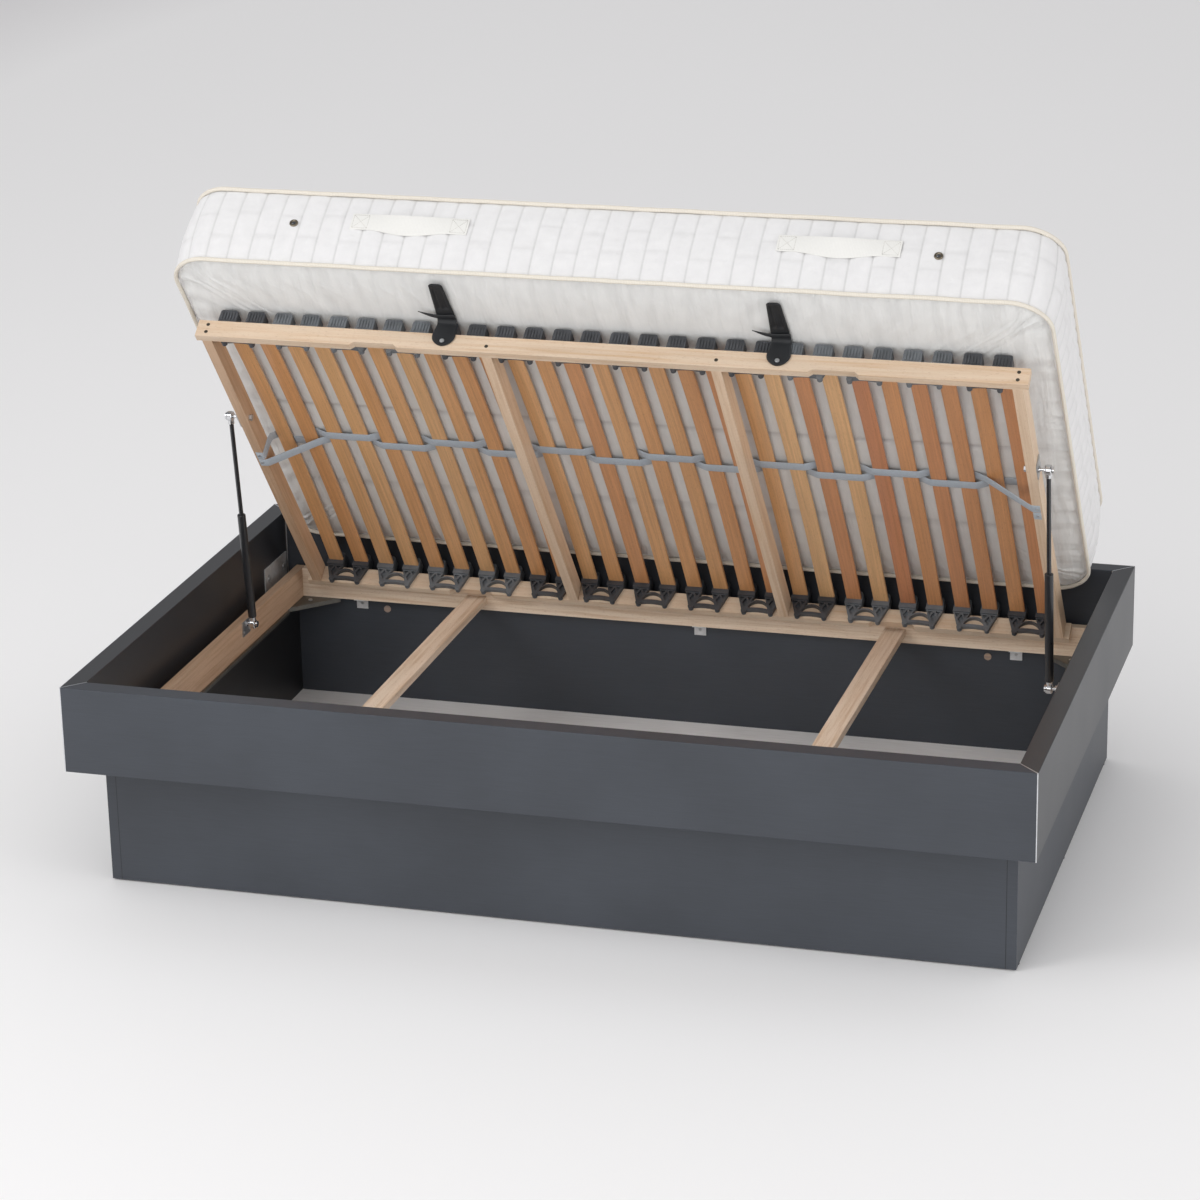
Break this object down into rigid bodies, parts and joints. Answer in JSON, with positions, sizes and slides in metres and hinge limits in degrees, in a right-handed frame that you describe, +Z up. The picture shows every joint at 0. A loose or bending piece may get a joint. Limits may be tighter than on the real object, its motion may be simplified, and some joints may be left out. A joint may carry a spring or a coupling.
{
  "type": "storage bed",
  "caption": "Low bed with a box plinth and wide surround; the slatted lid and mattress swing up on gas struts over the storage space.",
  "frame": {"origin": "on the floor at the centre of the plinth, under the middle glide", "axes": "+X across the bed's long side to the right, +Y to the back where the lid is hinged, +Z up"},
  "size_m": [2.08, 1.334, 1.4073],
  "materials": {
    "anthracite_board": "matte",
    "mitre_strip": "satin",
    "fitting_steel": "satin",
    "dark_steel": "satin",
    "zinc_steel": "satin",
    "beech": "satin",
    "slat_beech": "satin",
    "floor_board": "matte",
    "batten_wood": "matte",
    "glide_plastic": "matte",
    "cap_black": "satin",
    "cap_grey": "satin",
    "belt_webbing": "matte",
    "strap_plastic": "satin",
    "dark_screw": "satin",
    "cylinder_black": "satin",
    "rod_black": "gloss",
    "fitting_chrome": "polished",
    "mattress_fabric": "matte",
    "piping_fabric": "matte",
    "handle_webbing": "matte",
    "vent_metal": "satin"
  },
  "bodies": {
    "base": {"front_board": "anthracite_board", "back_board": "anthracite_board", "left_board": "anthracite_board", "right_board": "anthracite_board", "corner_strips": "mitre_strip", "board_plates": "fitting_steel", "board_plate_screws": "zinc_steel", "plinth_left": "anthracite_board", "plinth_right": "anthracite_board", "plinth_front": "anthracite_board", "plinth_back": "anthracite_board", "storage_floor": "floor_board", "floor_battens": "batten_wood", "glides": "glide_plastic", "frame_rail_left": "beech", "frame_rail_right": "beech", "frame_rail_front": "beech", "frame_rail_back": "beech", "support_ledges": "dark_steel", "crossbar_left": "beech", "crossbar_right": "beech", "corner_gussets": "dark_steel", "gusset_screws": "zinc_steel", "wall_brackets": "zinc_steel", "wall_bracket_screws": "zinc_steel", "cover_caps": "beech", "hinge_frame_leaves": "zinc_steel", "hinge_pins": "zinc_steel", "strut_foot_plates": "zinc_steel", "strut_foot_studs": "fitting_chrome"},
    "lid": {"lid_rail_rear": "beech", "lid_rail_front": "beech", "lid_end_left": "beech", "lid_end_right": "beech", "lid_mid_left": "beech", "lid_mid_right": "beech", "lid_screws": "dark_screw", "slats": "slat_beech", "slat_caps_black": "cap_black", "slat_caps_grey": "cap_grey", "belt_front": "belt_webbing", "belt_rear": "belt_webbing", "belt_screws": "zinc_steel", "mattress_strap_left": "strap_plastic", "mattress_strap_right": "strap_plastic", "strap_screws": "zinc_steel", "hinge_lid_leaves": "zinc_steel", "strut_head_plates": "zinc_steel"},
    "mattress": {"mattress": "mattress_fabric", "mattress_piping": "piping_fabric", "mattress_handles": "handle_webbing", "mattress_vents": "vent_metal"},
    "strut_left_barrel": {"strut_left_cylinder": "cylinder_black", "strut_left_lower_fitting": "fitting_chrome"},
    "strut_left_rod_set": {"strut_left_rod": "rod_black", "strut_left_upper_fitting": "fitting_chrome"},
    "strut_right_barrel": {"strut_right_cylinder": "cylinder_black", "strut_right_lower_fitting": "fitting_chrome"},
    "strut_right_rod_set": {"strut_right_rod": "rod_black", "strut_right_upper_fitting": "fitting_chrome"}
  },
  "joints": [
    {"name": "lid_hinge", "type": "hinge", "parent": "base", "child": "lid", "pos_m": [0, 0.5116, 0.3455], "axis": [1, 0, 0], "range_deg": [0, 51.7], "stiffness_Nm_per_rad": 250, "springref_deg": -126.05},
    {"name": "mattress_slide", "type": "slide", "parent": "lid", "child": "mattress", "axis": [0, 0.6198, -0.7848], "range_m": [0, 0.065]},
    {"name": "strut_left_pivot", "type": "hinge", "parent": "base", "child": "strut_left_barrel", "pos_m": [-0.925, 0.1355, 0.338], "axis": [1, 0, 0], "range_deg": [0, 87.04]},
    {"name": "strut_left_stroke", "type": "slide", "parent": "strut_left_barrel", "child": "strut_left_rod_set", "axis": [0, 0.1293, -0.9916], "range_m": [0, 0.22218]},
    {"name": "strut_right_pivot", "type": "hinge", "parent": "base", "child": "strut_right_barrel", "pos_m": [0.925, 0.1355, 0.338], "axis": [1, 0, 0], "range_deg": [0, 87.04]},
    {"name": "strut_right_stroke", "type": "slide", "parent": "strut_right_barrel", "child": "strut_right_rod_set", "axis": [0, 0.1293, -0.9916], "range_m": [0, 0.22218]}
  ],
  "couplings": [
    {"joint": "mattress_slide", "follows": "lid_hinge", "m_per_rad": 0.072035},
    {"joint": "strut_left_pivot", "follows": "lid_hinge", "ratio": 1.6835},
    {"joint": "strut_left_stroke", "follows": "lid_hinge", "m_per_rad": 0.24623},
    {"joint": "strut_right_pivot", "follows": "lid_hinge", "ratio": 1.6835},
    {"joint": "strut_right_stroke", "follows": "lid_hinge", "m_per_rad": 0.24623}
  ]
}
